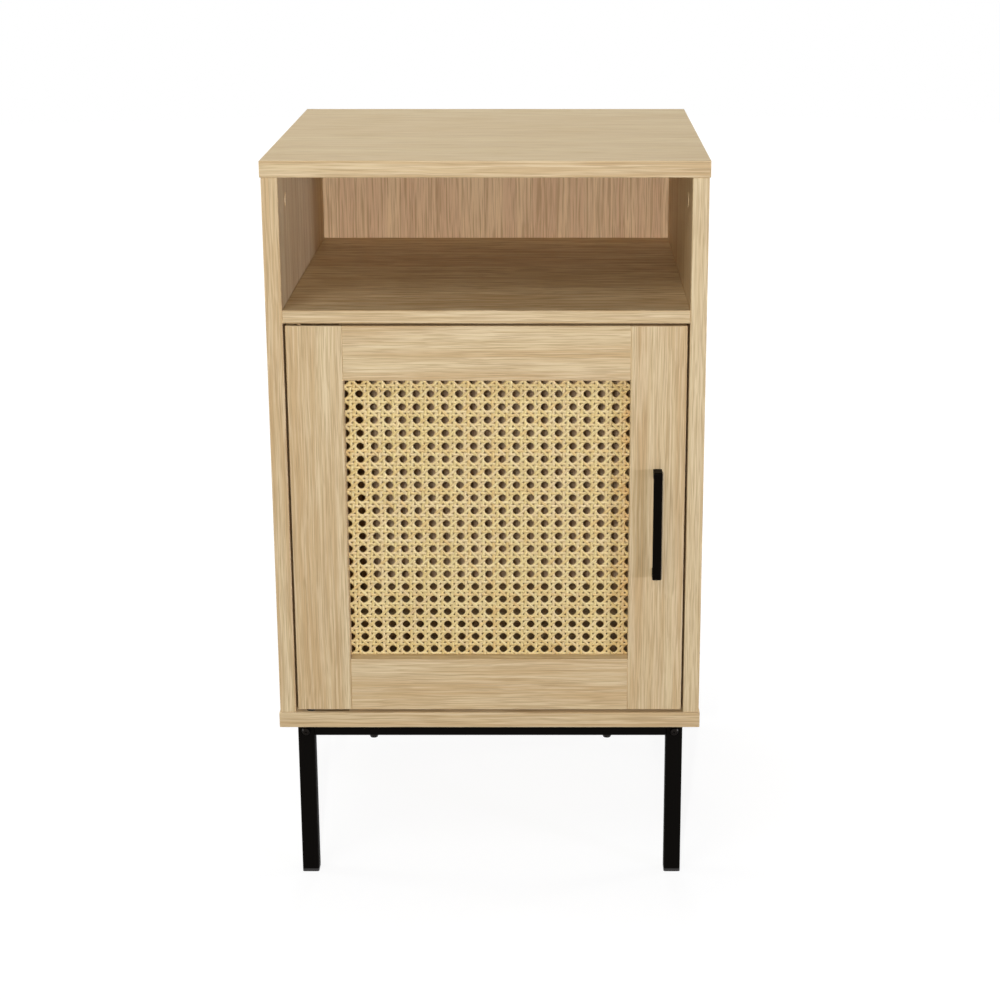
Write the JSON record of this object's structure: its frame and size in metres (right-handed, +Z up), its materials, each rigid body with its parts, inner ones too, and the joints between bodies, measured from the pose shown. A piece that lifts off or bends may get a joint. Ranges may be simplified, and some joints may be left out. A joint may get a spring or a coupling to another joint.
{
  "type": "storage side table with door",
  "caption": "Small square side table: board carcass with an open compartment over a cane-panelled door, on a leg frame of black square tube.",
  "frame": {"origin": "on the floor, under the middle of the whole object's box with the handle in it", "axes": "+Z up, -Y out of the door's face, +X to the right as seen from the front"},
  "size_m": [0.4, 0.402, 0.7],
  "materials": {
    "oak_laminate": "satin oak-look laminate on board",
    "back_board": "matt oak-look thin board",
    "cane": "natural cane webbing",
    "beech": "sanded beech",
    "black_steel": "matt black powder coat",
    "handle_black": "satin black powder coat",
    "zinc_steel": "bright zinc plate",
    "hinge_steel": "steel strip, dark bronze plating",
    "foot_plastic": "moulded black plastic",
    "cover_plastic": "moulded plastic, wood tone",
    "catch_plastic": "moulded white plastic",
    "magnet": "ferrite",
    "washer_nylon": "black nylon"
  },
  "bodies": {
    "root": {"top_panel": "oak_laminate", "bottom_panel": "oak_laminate", "left_side_panel": "oak_laminate", "right_side_panel": "oak_laminate", "divider_shelf": "oak_laminate", "back_panel": "back_board", "cam_locks": "zinc_steel", "cam_covers": "cover_plastic", "cam_bolts": "zinc_steel", "case_screws": "zinc_steel", "panel_dowels": "beech", "front_left_leg": "black_steel", "front_right_leg": "black_steel", "rear_left_leg": "black_steel", "rear_right_leg": "black_steel", "front_rail": "black_steel", "rear_rail": "black_steel", "left_side_rail": "black_steel", "right_side_rail": "black_steel", "front_left_foot_cap": "foot_plastic", "front_right_foot_cap": "foot_plastic", "rear_left_foot_cap": "foot_plastic", "rear_right_foot_cap": "foot_plastic", "rail_plugs": "zinc_steel", "frame_bolts": "zinc_steel", "mounting_screws": "zinc_steel", "lower_case_leaf": "hinge_steel", "upper_case_leaf": "hinge_steel", "lower_hinge_pin": "hinge_steel", "upper_hinge_pin": "hinge_steel", "lower_hinge_washer": "washer_nylon", "catch_housing": "catch_plastic", "catch_magnet": "magnet", "catch_poles": "zinc_steel"},
    "door": {"door_stile_left": "oak_laminate", "door_stile_right": "oak_laminate", "door_rail_bottom": "oak_laminate", "door_rail_top": "oak_laminate", "cane_panel": "cane", "cane_bead_bottom": "oak_laminate", "cane_bead_right": "oak_laminate", "cane_bead_top": "oak_laminate", "cane_bead_left": "oak_laminate", "handle": "handle_black", "handle_screws": "zinc_steel", "lower_door_leaf": "hinge_steel", "upper_door_leaf": "hinge_steel", "strike_plate": "zinc_steel"}
  },
  "joints": [
    {"name": "door_swing", "type": "hinge", "parent": "root", "child": "door", "pos_m": [-0.17, -0.1805, 0.364], "axis": [0, 0, -1], "range_deg": [0, 110]}
  ]
}
